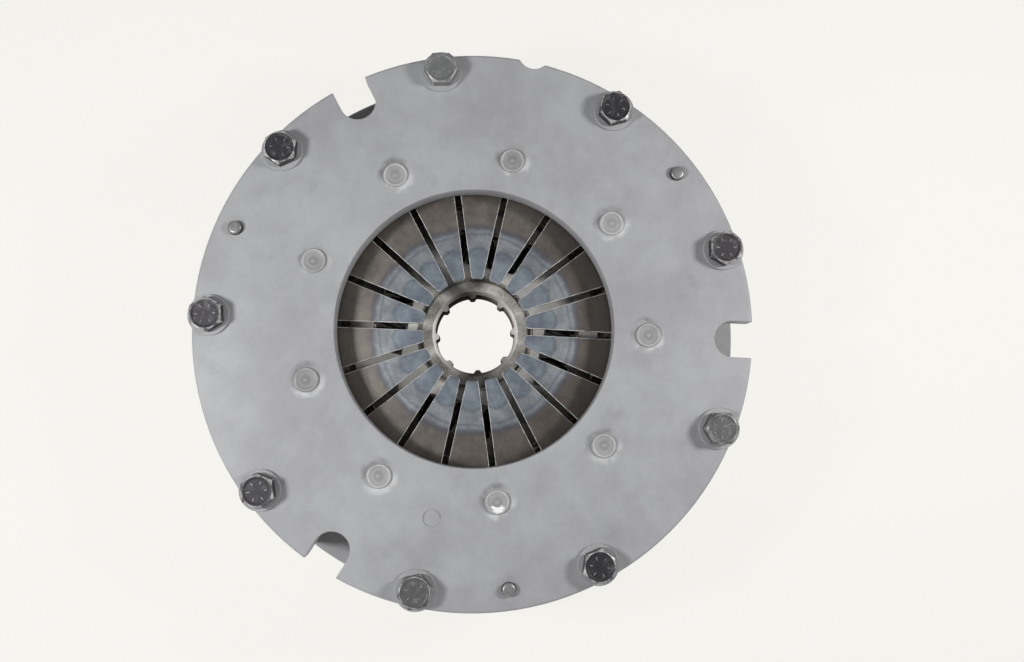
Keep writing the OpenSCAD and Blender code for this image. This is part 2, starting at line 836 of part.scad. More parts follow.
module segment_rivets() {
    low_z = cushion_z;
    high_z = drive_plate_top_z;
    color("dimgray")
    for (turn = [-segment_rivet_turn, segment_rivet_turn])
        around(segment_count, turn)
            translate([segment_rivet_r, 0, 0])
                headed_pin(low_z, high_z, segment_rivet_d / 2,
                           segment_rivet_head_d / 2, segment_rivet_head_t);
}

// A rivet from z = low to z = high with a head outside each end
module headed_pin(low, high, shank_r, head_r, head_t) {
    edge = head_t / 3;
    rotate_extrude()
        polygon([[0, low - head_t], [head_r - edge, low - head_t], [head_r, low - edge],
                 [head_r, low], [shank_r, low], [shank_r, high], [head_r, high],
                 [head_r, high + edge], [head_r - edge, high + head_t], [0, high + head_t]]);
}

// Shouldered pins that space the two damper plates and stop the hub flange
module stop_pins() {
    front_seat_z = drive_plate_z;
    rear_seat_z = retainer_z + retainer_t;
    color("dimgray")
    around(damper_count, stop_phase)
        translate([stop_r, 0, 0]) {
            headed_pin(retainer_z, drive_plate_top_z, stop_end_d / 2, stop_d / 2, stop_head_t);
            translate([0, 0, rear_seat_z])
                cylinder(d = stop_d, h = front_seat_z - rear_seat_z);
        }
}

// Coil with closed ends: its pitch is tight over the first and last turn
wire_sides = 6;
coil_steps = 16;
coil_mean_r = (coil_d - coil_wire_d) / 2;
coil_span = coil_len - coil_wire_d;
closed_pitch = coil_wire_d + 0.15;
open_pitch = (coil_span - 2 * closed_pitch) / (coil_turns - 2);
function coil_height(turn) =
    turn < 1 ? turn * closed_pitch :
    turn > coil_turns - 1 ? coil_span - (coil_turns - turn) * closed_pitch :
    closed_pitch + (turn - 1) * open_pitch;
function coil_ring(turn) = [for (k = [0 : wire_sides - 1])
    let (a = turn * 360, b = k * 360 / wire_sides, r = coil_mean_r + coil_wire_d / 2 * cos(b))
    [r * cos(a), r * sin(a), coil_height(turn) + coil_wire_d / 2 * sin(b)]];

module coil_spring() {
    rings = coil_turns * coil_steps;
    points = [for (i = [0 : rings]) each coil_ring(i / coil_steps)];
    sides = [for (i = [0 : rings - 1], k = [0 : wire_sides - 1])
        let (a = i * wire_sides + k, b = i * wire_sides + (k + 1) % wire_sides)
        [b, a, a + wire_sides, b + wire_sides]];
    first_end = [for (k = [0 : wire_sides - 1]) k];
    last_end = [for (k = [wire_sides - 1 : -1 : 0]) rings * wire_sides + k];
    polyhedron(points, concat(sides, [first_end, last_end]), convexity = 8);
}

module damper_springs() {
    color([0.15, 0.15, 0.17])
    around(damper_count, damper_phase)
        translate([damper_r, coil_len / 2 - coil_wire_d / 2, coil_z])
            rotate([90, 0, 0])
                coil_spring();
}

// Ring between the hub flange and the drive plate, with a sleeve that centres the plate
module friction_ring_front() {
    low_z = drive_plate_z - front_ring_t;
    sleeve_top_z = drive_plate_top_z + 0.5;
    color([0.2, 0.2, 0.19])
    rotate_extrude()
        polygon([[ring_bore_r, low_z], [friction_ring_r, low_z],
                 [friction_ring_r, drive_plate_z], [sleeve_r, drive_plate_z],
                 [sleeve_r, sleeve_top_z], [ring_bore_r, sleeve_top_z]]);
}

module friction_ring_rear() {
    color([0.2, 0.2, 0.19])
    translate([0, 0, rear_ring_z])
        flat_ring(ring_bore_r, friction_ring_r, rear_ring_t);
}

// Conical washer that loads the friction rings: its inner edge is on the retainer plate
module load_washer() {
    r_in = sleeve_r + 0.6;
    r_out = friction_ring_r - 0.3;
    color("slategray")
    translate([0, 0, load_washer_z])
        rotate_extrude()
            polygon([[r_in, 0], [r_out, load_washer_h - load_washer_t],
                     [r_out, load_washer_h], [r_in, load_washer_t]]);
}

// Outline of the spline bore: a circle with teeth that point inwards
module spline_outline() {
    difference() {
        circle(r = bore_r);
        around(tooth_count, spline_phase)
            polygon([[bore_r + 1, tooth_foot_w / 2], [bore_r - 0.2, tooth_foot_w / 2],
                     [bore_r - tooth_h, tooth_tip_w / 2], [bore_r - tooth_h, -tooth_tip_w / 2],
                     [bore_r - 0.2, -tooth_foot_w / 2], [bore_r + 1, -tooth_foot_w / 2]]);
    }
}

// Outline of the hub flange: slots for the springs and notches for the stop pins
module flange_outline() {
    slot_len = coil_len + 2 * coil_play;
    slot_in_r = damper_r - damper_window_w / 2;
    difference() {
        circle(r = flange_r);
        around(damper_count, damper_phase)
            translate([slot_in_r, -slot_len / 2])
                square([2 * flange_r, slot_len]);
        around(damper_count, stop_phase)
            stop_notch();
    }
}

// A notch that lets a stop pin swing by the twist angle each way, and a little play
module stop_notch() {
    floor_r = stop_r - stop_d / 2 - 0.6;
    reach = 2 * flange_r;
    side_deg = stop_notch_deg + 0.3;
    difference() {
        polygon([[0, 0], [reach * cos(side_deg), -reach * sin(side_deg)],
                 [reach * cos(side_deg), reach * sin(side_deg)]]);
        circle(r = floor_r);
    }
}

// Hub: barrel with a spline bore and a flange that the damper springs push on
module splined_hub() {
    bevel_reach = bore_bevel + tooth_h;
    bevel_r = bore_r + bore_bevel;
    edge = 1;
    color([0.5, 0.49, 0.47])
    difference() {
        union() {
            translate([0, 0, hub_rear_z])
                bevelled_ring(bore_r - tooth_h - 1, barrel_r, hub_front_z - hub_rear_z, edge);
            translate([0, 0, flange_z])
                linear_extrude(flange_t)
                    difference() {
                        flange_outline();
                        circle(r = barrel_r - 1);
                    }
        }
        translate([0, 0, hub_rear_z - cut])
            linear_extrude(hub_front_z - hub_rear_z + 2 * cut)
                spline_outline();
        translate([0, 0, hub_front_z - bevel_reach])
            cylinder(r1 = bevel_r - bevel_reach, r2 = bevel_r + cut, h = bevel_reach + cut);
        translate([0, 0, hub_rear_z - cut])
            cylinder(r1 = bevel_r + cut, r2 = bevel_r - bevel_reach, h = bevel_reach + cut);
    }
}

cover();
housing_ring();
back_plate();
cover_bolts();
bolt_washers();
dowel_pins();
diaphragm_spring();
fulcrum_rivets();
fulcrum_ring_front();
fulcrum_ring_rear();
pressure_plate();
retractor_clips();
clip_screws();
facing_front();
facing_rear();
cushion_segments();
facing_rivets();
drive_plate();
retainer_plate();
segment_rivets();
stop_pins();
damper_springs();
friction_ring_front();
friction_ring_rear();
load_washer();
splined_hub();
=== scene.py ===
"""Looks of a power take-off clutch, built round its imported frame. Metres, +Z out of the cover."""

import json
import math

import bmesh
import bpy
from mathutils import Matrix, Vector


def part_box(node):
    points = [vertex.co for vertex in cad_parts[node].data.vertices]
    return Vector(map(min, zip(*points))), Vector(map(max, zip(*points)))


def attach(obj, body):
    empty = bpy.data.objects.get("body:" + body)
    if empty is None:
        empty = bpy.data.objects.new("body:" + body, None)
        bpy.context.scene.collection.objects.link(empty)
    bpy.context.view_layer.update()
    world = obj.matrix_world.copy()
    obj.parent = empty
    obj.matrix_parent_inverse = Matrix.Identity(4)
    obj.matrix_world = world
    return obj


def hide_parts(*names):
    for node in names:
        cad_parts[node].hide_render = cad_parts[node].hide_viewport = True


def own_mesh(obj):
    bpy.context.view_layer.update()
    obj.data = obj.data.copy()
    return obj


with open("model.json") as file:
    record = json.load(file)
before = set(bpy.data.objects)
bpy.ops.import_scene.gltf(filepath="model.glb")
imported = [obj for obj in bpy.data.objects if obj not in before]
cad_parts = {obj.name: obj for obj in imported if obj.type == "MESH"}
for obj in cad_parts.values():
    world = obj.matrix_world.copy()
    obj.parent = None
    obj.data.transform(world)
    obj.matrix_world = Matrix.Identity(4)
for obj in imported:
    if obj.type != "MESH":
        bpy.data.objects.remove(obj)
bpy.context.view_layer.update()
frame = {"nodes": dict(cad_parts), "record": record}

MM = 0.001

# Places taken from the frame
COVER_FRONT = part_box("cover")[1].z
BOLT_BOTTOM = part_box("cover_bolts")[0].z
WASHER_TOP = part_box("bolt_washers")[1].z
HUB_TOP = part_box("splined_hub")[1].z
MOUNTS = {mount["name"]: mount for mount in frame["record"]["mounts"]}
STUDS = MOUNTS["flywheel_studs"]["dims"]
BOLT_CIRCLE_R = STUDS["pcd_mm"] / 2 * MM
BOLT_COUNT = STUDS["count"]

# Sizes that several pieces and finishes share
FINGER_COUNT = 18
FINGER_DEG = 360 / FINGER_COUNT
RIVET_COUNT = 9
RIVET_CIRCLE_R = 102.5 * MM
BOLT_WORN, BOLT_MARK, BOLT_BEVEL = 1, 2, 3


def spread(count, phase=0.0):
    """Angles in degrees of count things spaced evenly round the axis."""
    return [phase + i * 360 / count for i in range(count)]


def turned(degrees, x=0.0, y=0.0, z=0.0):
    """The matrix that moves a thing to x, y, z and then turns it round the clutch's axis."""
    return Matrix.Rotation(math.radians(degrees), 4, "Z") @ Matrix.Translation((x, y, z))


# Camera, floor and light

def make_camera():
    data = bpy.data.cameras.new("camera")
    data.lens = 34.6666
    data.sensor_width = 36
    camera = bpy.data.objects.new("camera", data)
    camera.location = (0.005367, -0.054648, 0.647686)
    camera.rotation_euler = [math.radians(a) for a in (5.2108, -1.8723, 2.4455)]
    bpy.context.scene.collection.objects.link(camera)
    bpy.context.scene.camera = camera


def make_area(name, place, size, power, colour):
    data = bpy.data.lights.new(name, "AREA")
    data.shape = "RECTANGLE"
    data.size, data.size_y = size
    data.energy = power
    data.color = colour
    lamp = bpy.data.objects.new(name, data)
    lamp.location = place
    lamp.rotation_euler = (-Vector(place)).to_track_quat("-Z", "Y").to_euler()
    bpy.context.scene.collection.objects.link(lamp)


def seen_share(tree):
    """1 for the camera and for what glossy and clear surfaces show, 0 for other rays."""
    path = tree.nodes.new("ShaderNodeLightPath")
    total = path.outputs["Is Camera Ray"]
    for name in ("Is Glossy Ray", "Is Transmission Ray"):
        add = tree.nodes.new("ShaderNodeMath")
        add.operation = "MAXIMUM"
        tree.links.new(total, add.inputs[0])
        tree.links.new(path.outputs[name], add.inputs[1])
        total = add.outputs[0]
    return total


def floor_glow_painted_shade(tree):
    """The floor's glow: nearly full below the hub's bore, most of it past the rim, none between, so a
    painted shade ring lies under the clutch.
    """
    # Painted shade: no glow in the ring under the clutch, so the floor shows dark there.
    bore_edge, rim_edge = (0.036, 0.033, 0.965), (0.118, 0.15, 0.86)
    place = tree.nodes.new("ShaderNodeTexCoord")
    level = tree.nodes.new("ShaderNodeVectorMath")
    level.operation = "MULTIPLY"
    level.inputs[1].default_value = (1, 1, 0)
    tree.links.new(place.outputs["Object"], level.inputs[0])
    radius = tree.nodes.new("ShaderNodeVectorMath")
    radius.operation = "LENGTH"
    tree.links.new(level.outputs[0], radius.inputs[0])
    shares = []
    for start, end, full in (bore_edge, rim_edge):
        share = tree.nodes.new("ShaderNodeMapRange")
        share.interpolation_type = "SMOOTHSTEP"
        share.inputs["From Min"].default_value = min(start, end)
        share.inputs["From Max"].default_value = max(start, end)
        share.inputs["To Min"].default_value = full if start > end else 0.0
        share.inputs["To Max"].default_value = 0.0 if start > end else full
        tree.links.new(radius.outputs["Value"], share.inputs["Value"])
        shares.append(share.outputs["Result"])
    total = tree.nodes.new("ShaderNodeMath")
    total.operation = "MAXIMUM"
    tree.links.new(shares[0], total.inputs[0])
    tree.links.new(shares[1], total.inputs[1])
    return total.outputs[0]


def make_floor():
    mesh = bpy.data.meshes.new("floor")
    side = 6.0
    corners = [(-side, -side), (side, -side), (side, side), (-side, side)]
    mesh.from_pydata([(x, y, BOLT_BOTTOM) for x, y in corners], [], [(0, 1, 2, 3)])
    floor = bpy.data.objects.new("floor", mesh)
    bpy.context.scene.collection.objects.link(floor)
    material = bpy.data.materials.new("floor")
    material.use_nodes = True
    tree = material.node_tree
    shader = tree.nodes["Principled BSDF"]
    shader.inputs["Base Color"].default_value = (0.84, 0.83, 0.8, 1)
    shader.inputs["Roughness"].default_value = 0.9
    shader.inputs["Specular IOR Level"].default_value = 0.1
    glow = tree.nodes.new("ShaderNodeEmission")
    glow.inputs["Color"].default_value = (0.955, 0.938, 0.9, 1)
    lit = tree.nodes.new("ShaderNodeMath")
    lit.operation = "MULTIPLY"
    tree.links.new(seen_share(tree), lit.inputs[0])
    tree.links.new(floor_glow_painted_shade(tree), lit.inputs[1])
    mix = tree.nodes.new("ShaderNodeMixShader")
    tree.links.new(lit.outputs[0], mix.inputs[0])
    tree.links.new(shader.outputs[0], mix.inputs[1])
    tree.links.new(glow.outputs[0], mix.inputs[2])
    tree.links.new(mix.outputs[0], tree.nodes["Material Output"].inputs["Surface"])
    mesh.materials.append(material)


def make_light():
    world = bpy.data.worlds.new("studio")
    world.use_nodes = True
    world.node_tree.nodes["Background"].inputs["Color"].default_value = (0.97, 0.98, 1.0, 1)
    world.node_tree.nodes["Background"].inputs["Strength"].default_value = 0.16
    bpy.context.scene.world = world
    make_area("left_box", (-0.42, -0.09, 0.54), (0.1, 0.12), 2.3, (1.0, 1.0, 1.0))
    make_area("right_box", (0.48, 0.09, 0.47), (0.1, 0.12), 2.0, (1.0, 0.99, 0.98))
    make_area("low_box", (-0.24, -0.72, 0.42), (0.5, 0.3), 0.9, (1.0, 1.0, 1.0))


# Materials

def srgb(r, g, b):
    """Linear colour of a screen colour whose channels run to 255."""
    def linear(c):
        c = c / 255
        return c / 12.92 if c <= 0.04045 else ((c + 0.055) / 1.055) ** 2.4
    return (linear(r), linear(g), linear(b), 1.0)


class Formula:
    """A value that changes over a surface and takes plain arithmetic."""

    def __init__(self, paint, socket):
        self.paint = paint
        self.socket = socket

    def math(self, operation, *others, clamp=False):
        node = self.paint.add("ShaderNodeMath", operation=operation, use_clamp=clamp)
        for socket, value in zip(node.inputs, (self, *others)):
            self.paint.put(socket, value)
        return Formula(self.paint, node.outputs[0])

    def __add__(self, other):
        return self.math("ADD", other)

    def __sub__(self, other):
        return self.math("SUBTRACT", other)

    def __mul__(self, other):
        return self.math("MULTIPLY", other)

    def __truediv__(self, other):
        return self.math("DIVIDE", other)

    def between(self, low, high):
        """0 below low, 1 above high and smooth in between; high may be the lower one."""
        node = self.paint.add("ShaderNodeMapRange", interpolation_type="SMOOTHSTEP")
        self.paint.put(node.inputs["Value"], self)
        node.inputs["From Min"].default_value = min(low, high)
        node.inputs["From Max"].default_value = max(low, high)
        node.inputs["To Min"].default_value = 0.0 if low < high else 1.0
        node.inputs["To Max"].default_value = 1.0 if low < high else 0.0
        return Formula(self.paint, node.outputs["Result"])

    def near(self, middle, width):
        """1 at middle, falling to 0 at width from it."""
        return (self - middle).math("ABSOLUTE").between(width, 0.0)


class Paint:
    """A procedural material and short ways to build it up."""

    def __init__(self, name, metal=0.0, **sockets):
        self.material = bpy.data.materials.new(name)
        self.material.use_nodes = True
        self.tree = self.material.node_tree
        self.shader = self.tree.nodes["Principled BSDF"]
        self.shader.inputs["Metallic"].default_value = metal
        for key, value in sockets.items():
            self.shader.inputs[key.replace("_", " ")].default_value = value
        self.place = Formula(self, self.add("ShaderNodeTexCoord").outputs["Object"])

    def add(self, kind, **settings):
        node = self.tree.nodes.new(kind)
        for key, value in settings.items():
            setattr(node, key, value)
        return node

    def put(self, socket, value):
        if isinstance(value, Formula):
            self.tree.links.new(value.socket, socket)
        else:
            socket.default_value = value

    def parts(self):
        """X, Y and Z of the place on the surface."""
        node = self.add("ShaderNodeSeparateXYZ")
        self.put(node.inputs[0], self.place)
        return [Formula(self, socket) for socket in node.outputs]

    def polar(self):
        """Distance from the axis, and the angle round it in radians."""
        x, y, _ = self.parts()
        return (x * x + y * y).math("SQRT"), y.math("ARCTAN2", x)

    def upward(self):
        """How far the surface faces up the axis, from -1 to 1."""
        node = self.add("ShaderNodeSeparateXYZ")
        self.put(node.inputs[0], Formula(self, self.add("ShaderNodeTexCoord").outputs["Normal"]))
        return Formula(self, node.outputs[2])

    def point(self, x, y, z):
        node = self.add("ShaderNodeCombineXYZ")
        for socket, value in zip(node.inputs, (x, y, z)):
            self.put(socket, value)
        return Formula(self, node.outputs[0])

    def noise(self, size, detail=2.0, rough=0.5, seed=0.0, at=None):
        """Noise round 0.5 whose features are about size metres across."""
        node = self.add("ShaderNodeTexNoise", noise_dimensions="4D")
        self.put(node.inputs["Vector"], at or self.place)
        node.inputs["Scale"].default_value = 1 / size
        node.inputs["Detail"].default_value = detail
        node.inputs["Roughness"].default_value = rough
        node.inputs["W"].default_value = seed
        return Formula(self, node.outputs[0])

    def dots(self, spacing, radius, seed=0.0):
        """1 inside small scattered dots, 0 elsewhere."""
        node = self.add("ShaderNodeTexVoronoi", voronoi_dimensions="4D")
        self.put(node.inputs["Vector"], self.place)
        node.inputs["Scale"].default_value = 1 / spacing
        node.inputs["W"].default_value = seed
        return Formula(self, node.outputs["Distance"]).between(radius / spacing, 0.0)

    def ramp(self, value, *stops):
        """Colour along a row of (position, colour) stops."""
        node = self.add("ShaderNodeValToRGB")
        self.put(node.inputs[0], value)
        ramp = node.color_ramp
        while len(ramp.elements) < len(stops):
            ramp.elements.new(0.5)
        for element, (position, _) in zip(ramp.elements, stops):
            element.position = position
        for element, (position, colour) in zip(ramp.elements, stops):
            element.color = colour
        return Formula(self, node.outputs[0])

    def blend(self, share, under, over):
        """The colour under, with share of the colour over on it."""
        node = self.add("ShaderNodeMix", data_type="RGBA")
        self.put(node.inputs[0], share)
        self.put(node.inputs[6], under)
        self.put(node.inputs[7], over)
        return Formula(self, node.outputs[2])

    def shade(self, colour, amount):
        """A colour made lighter or darker by the formula amount, which is 1 for no change."""
        node = self.add("ShaderNodeVectorMath", operation="SCALE")
        self.put(node.inputs[0], colour)
        self.put(node.inputs["Scale"], amount)
        return Formula(self, node.outputs[0])

    def finish(self, colour, rough, height=None, depth=0.0001, metal=None):
        self.put(self.shader.inputs["Base Color"], colour)
        self.put(self.shader.inputs["Roughness"], rough)
        if metal is not None:
            self.put(self.shader.inputs["Metallic"], metal)
        if height is not None:
            bump = self.add("ShaderNodeBump")
            bump.inputs["Strength"].default_value = 1.0
            bump.inputs["Distance"].default_value = depth
            self.put(bump.inputs["Height"], height)
            self.tree.links.new(bump.outputs[0], self.shader.inputs["Normal"])
        return self.material


def housing_paint(name, light, dark, speck):
    """Satin primer with soft clouds, fine mottling, dust and small knocks."""
    paint = Paint(name, Specular_IOR_Level=0.42)
    clouds = paint.noise(0.09, 3) * 0.5 + paint.noise(0.02, 4, 0.6, 2.0) * 0.5
    mottle = paint.noise(0.0045, 4, 0.7, 6.0)
    grain = paint.noise(0.0011, 2, 0.6, 4.0)
    smudges = paint.noise(0.035, 5, 0.62, 7.0).between(0.56, 0.74)
    colour = paint.blend(clouds.between(0.36, 0.64), dark, light)
    colour = paint.blend(smudges * 0.35, colour, srgb(126, 125, 127))
    colour = paint.shade(colour, grain * 0.14 + mottle * 0.12 + 0.87)
    colour = paint.blend(paint.dots(0.016, 0.0005, 1.0) * 0.8, colour, speck)
    colour = paint.blend(paint.dots(0.022, 0.0007, 5.0) * 0.55, colour, srgb(98, 97, 100))
    return paint, colour, clouds, grain


def plain_primer(name, light, dark, speck):
    paint, colour, clouds, grain = housing_paint(name, light, dark, speck)
    height = grain * 0.5 + paint.noise(0.006, 3, 0.6, 9.0) * 0.5
    return paint.finish(colour, clouds * 0.16 + 0.4, height, 0.00012)


def rivet_primer(name, light, dark, speck):
    """The heads' primer, with a painted glint across one of them where its paint is worn."""
    paint, colour, clouds, grain = housing_paint(name, light, dark, speck)
    x, y, _ = paint.parts()
    # A painted highlight: a white glint on one rivet head.
    glint_x, glint_y, glint_w, glint_h = 0.018, -0.1047, 0.0036, 0.0025
    sideways, upwards = (x - glint_x) / glint_w, (y - glint_y) / glint_h
    reach = (sideways * sideways + upwards * upwards).math("SQRT")
    streaks = paint.noise(0.0012, 3, 0.7, 3.0, paint.point(x * 0.35, y, 0.0))
    ragged = reach + (streaks - 0.5) * 2.2
    colour = paint.blend(ragged.between(1.05, 0.85), colour, srgb(252, 252, 252))
    height = grain * 0.5 + paint.noise(0.003, 3, 0.6, 9.0) * 0.5
    return paint.finish(colour, clouds * 0.16 + 0.36, height, 0.0002)


def washer_primer():
    """The cover's primer over a washer, with paler side walls as painted light against their shade."""
    paint, colour, clouds, grain = housing_paint(
        "washer_paint", srgb(176, 177, 179), srgb(163, 163, 166), srgb(206, 206, 206))
    # Painted light: the side walls are paler than the top.
    colour = paint.blend(paint.upward().between(0.9, 0.3), colour, srgb(184, 184, 184))
    return paint.finish(colour, clouds * 0.16 + 0.4, grain, 0.0001)


def cover_primer():
    """The cover's primer, with painted light in patches below each pressed rivet and painted shade
    beside it.
    """
    pitch = math.radians(360 / RIVET_COUNT)
    paint, colour, clouds, grain = housing_paint(
        "cover_paint", srgb(177, 178, 180), srgb(163, 163, 166), srgb(216, 216, 216))
    _, angle = paint.polar()
    place = (angle / pitch + 0.5).math("FLOOR") * pitch
    x, y, _ = paint.parts()
    sideways = x - place.math("COSINE") * RIVET_CIRCLE_R
    upwards = y - place.math("SINE") * RIVET_CIRCLE_R
    reach = (sideways * sideways + upwards * upwards).math("SQRT")
    reach = reach + (paint.noise(0.008, 3, 0.6, 8.0) - 0.5) * 0.005
    # Painted light and shade round each rivet: lighter patches below it, darker ones beside it.
    patches = paint.noise(0.011, 3, 0.6, 12.0)
    lower = (sideways * 0.5 - upwards).between(-0.001, 0.007)
    beside = (sideways * -0.6 + upwards * 0.8).between(0.0, 0.007)
    halo_r, halo_w = 0.0085, 0.0035
    rivet_painted_light = reach.near(halo_r, halo_w) * lower * patches.between(0.4, 0.56) * 0.7
    colour = paint.blend(rivet_painted_light, colour, srgb(214, 215, 216))
    rivet_painted_shade = reach.near(halo_r, halo_w) * beside * patches.between(0.62, 0.42) * 0.65
    colour = paint.blend(rivet_painted_shade, colour, srgb(112, 112, 114))
    height = grain * 0.5 + paint.noise(0.006, 3, 0.6, 9.0) * 0.5
    return paint.finish(colour, clouds * 0.16 + 0.4, height, 0.00012)


def turned_iron(name, light, dark, ring_pitch, metal=0.55):
    """Iron or steel with fine rings from the lathe, stains and a dull sheen."""
    paint = Paint(name, metal)
    radius, _ = paint.polar()
    _, _, z = paint.parts()
    rings = paint.noise(ring_pitch, 3, 0.7, 0.0, paint.point(radius, z, 0.0))
    stain = paint.noise(0.03, 5, 0.6, 3.0)
    grain = paint.noise(0.0009, 2, 0.6, 5.0)
    colour = paint.blend(stain.between(0.35, 0.66), dark, light)
    colour = paint.shade(colour, rings * 0.4 + grain * 0.25 + 0.68)
    return paint.finish(colour, stain * 0.25 + 0.34, rings * 0.7 + grain * 0.3, 0.00005)


def damper_steel():
    """The damper's plates: turned steel, with a painted highlight at two sides of the rim and painted
    shade on the rest of the outer zone.
    """
    paint = Paint("damper_steel", 0.1)
    radius, angle = paint.polar()
    rings = paint.noise(0.0012, 3, 0.7, 0.0, paint.point(radius, 0.0, 0.0))
    stain = paint.noise(0.02, 4, 0.6, 3.0)
    grain = paint.noise(0.0009, 2, 0.6, 5.0)
    # Painted shade on the outer zone except at two sides, where light passes along the slots.
    side = (angle - math.radians(8)).math("COSINE").math("ABSOLUTE").between(0.9, 0.975)
    outer = radius.between(0.052, 0.062)
    colour = paint.blend(stain.between(0.35, 0.66), srgb(206, 204, 199), srgb(236, 234, 230))
    colour = paint.blend(outer * (side * -0.8 + 0.8), colour, srgb(104, 96, 88))
    colour = paint.shade(colour, rings * 0.3 + grain * 0.25 + 0.73)
    # Painted highlight on the rim at those two sides.
    colour = paint.blend(radius.near(0.0695, 0.006) * side, colour, srgb(255, 252, 246))
    return paint.finish(colour, stain * 0.2 + 0.42, rings * 0.7 + grain * 0.3, 0.00005)


def cast_iron(name, light, dark):
    """As-cast surface: coarse grain and rusty brown patches."""
    paint = Paint(name, 0.25)
    grain = paint.noise(0.0016, 4, 0.65)
    patch = paint.noise(0.02, 5, 0.6, 2.0)
    colour = paint.blend(patch.between(0.38, 0.64), dark, light)
    colour = paint.shade(colour, grain * 0.6 + 0.7)
    return paint.finish(colour, patch * 0.2 + 0.55, grain, 0.0003)


def plain_steel(name, light, dark, rough=0.34, metal=0.85):
    """Bare or oiled steel with a fine grain and a few darker stains."""
    paint = Paint(name, metal)
    stain = paint.noise(0.012, 4, 0.6)
    grain = paint.noise(0.0007, 2, 0.6, 3.0)
    colour = paint.blend(stain.between(0.38, 0.66), light, dark)
    colour = paint.shade(colour, grain * 0.3 + 0.85)
    return paint.finish(colour, stain * 0.2 + rough - 0.1, grain, 0.00003)


def worn_edge(name, dull, bright, start, end):
    """Bright metal where handling has taken the finish off an edge, in broken patches."""
    paint = Paint(name, 0.3)
    wear = paint.noise(0.005, 4, 0.65).between(start, end)
    colour = paint.blend(wear, dull, bright)
    return paint.finish(colour, wear * -0.1 + 0.52)


def heat_brown_and_painted_shading(paint, ring, stain):
    """The spring's outer colour: brown-grey, with painted shade at the edge, to the right and below,
    and a faint painted highlight on a ring to the left.
    """
    radius, angle = paint.polar()
    left_painted_light = (angle.math("COSINE") * -1).between(-0.5, 0.9)
    right_painted_shade = angle.math("COSINE").between(0.1, 0.9)
    low_painted_shade = (angle.math("SINE") * -1).between(0.2, 0.6)
    brown = paint.blend(stain.between(0.3, 0.7), srgb(108, 102, 97), srgb(126, 120, 112))
    # Painted light on a ring to the left, then painted shade at the edge, to the right and below.
    brown = paint.blend(ring.near(0.0665, 0.004) * left_painted_light * 0.12, brown, srgb(150, 144, 136))
    brown = paint.blend(radius.between(0.074, 0.081) * 0.35, brown, srgb(70, 63, 59))
    brown = paint.blend(right_painted_shade * 0.6, brown, srgb(76, 68, 63))
    return paint.blend(low_painted_shade * 0.15, brown, srgb(64, 57, 52))


def heat_rings(paint, brown, ring, stain):
    """The brown with a paler zone inside it, a violet ring at its edge and a thin blue line."""
    light = paint.blend(stain.between(0.3, 0.7), srgb(124, 127, 132), srgb(154, 158, 162))
    colour = paint.blend(ring.between(0.0632, 0.0602), brown, light)
    colour = paint.blend(ring.near(0.062, 0.0032) * 0.62, colour, srgb(86, 88, 102))
    return paint.blend(ring.near(0.0578, 0.0015) * 0.55, colour, srgb(96, 104, 120))


def heat_tips(paint, colour, wobble, stain):
    """The colour with a blue oval on each finger tip, darker round its edge."""
    radius, angle = paint.polar()
    turns = angle / math.radians(FINGER_DEG)
    across = (turns - turns.math("FLOOR") - 0.5) * math.radians(FINGER_DEG) * radius
    middle_r, half_length, half_width = 0.0365, 0.0122, 0.0092
    along = (radius + wobble * 0.5 - middle_r) / half_length
    side = across / half_width
    oval = (along * along + side * side).math("SQRT")
    inside_tip = radius.between(0.0535, 0.0505)
    blue = paint.blend(stain.between(0.3, 0.7), srgb(112, 121, 132), srgb(142, 151, 160))
    colour = paint.blend(oval.between(1.1, 0.9) * inside_tip, colour, blue)
    return paint.blend(oval.near(1.05, 0.17) * inside_tip * 0.5, colour, srgb(84, 95, 108))


def heat_steel():
    """Spring steel: brown-grey outside, heat rings inside, an oval patch on each finger tip."""
    paint = Paint("heat_steel", 0.35)
    radius, angle = paint.polar()
    wobble = (paint.noise(0.016, 3, 0.55, 1.0) - 0.5) * 0.006
    ring = radius + wobble
    stain = paint.noise(0.009, 5, 0.62, 4.0)
    scratches = paint.noise(0.0016, 4, 0.7, 2.0)
    colour = heat_rings(paint, heat_brown_and_painted_shading(paint, ring, stain), ring, stain)
    colour = heat_tips(paint, colour, wobble, stain)
    speckle = paint.noise(0.0012, 3, 0.8, 8.0).between(0.36, 0.64)
    colour = paint.shade(colour, scratches * 0.28 + stain * 0.14 + speckle * 0.14 + 0.66)
    colour = paint.blend(paint.dots(0.009, 0.0004, 3.0) * 0.7, colour, srgb(190, 188, 180))
    top = angle.math("SINE").between(0.2, 0.7)
    colour = paint.blend(paint.dots(0.0024, 0.0003, 6.0) * top * 0.6, colour, srgb(176, 170, 160))
    rough = stain * 0.25 + 0.3
    return paint.finish(colour, rough, scratches, 0.00004)


def dark_oxide(name, body, patch):
    """Blackened steel of a bolt with greyer rubbed patches and fine scratches."""
    paint = Paint(name, 0.5)
    rub = paint.noise(0.0035, 5, 0.7, 2.0)
    grain = paint.noise(0.0006, 2, 0.6)
    colour = paint.blend(rub.between(0.48, 0.7), body, patch)
    colour = paint.shade(colour, grain * 0.7 + 0.65)
    return paint.finish(colour, rub * 0.2 + 0.42, grain, 0.00006)


def friction_lining():
    """Moulded lining: brown-grey with pale fibres and brass chips."""
    paint = Paint("friction_lining")
    fibre = paint.noise(0.0022, 5, 0.75)
    patch = paint.noise(0.02, 3, 0.5, 2.0)
    colour = paint.blend(fibre.between(0.4, 0.6), srgb(92, 80, 64), srgb(140, 124, 100))
    colour = paint.shade(colour, patch * 0.4 + 0.8)
    colour = paint.blend(paint.dots(0.0035, 0.0006, 2.0), colour, srgb(196, 160, 92))
    return paint.finish(colour, fibre * 0.2 + 0.7, fibre, 0.00025)


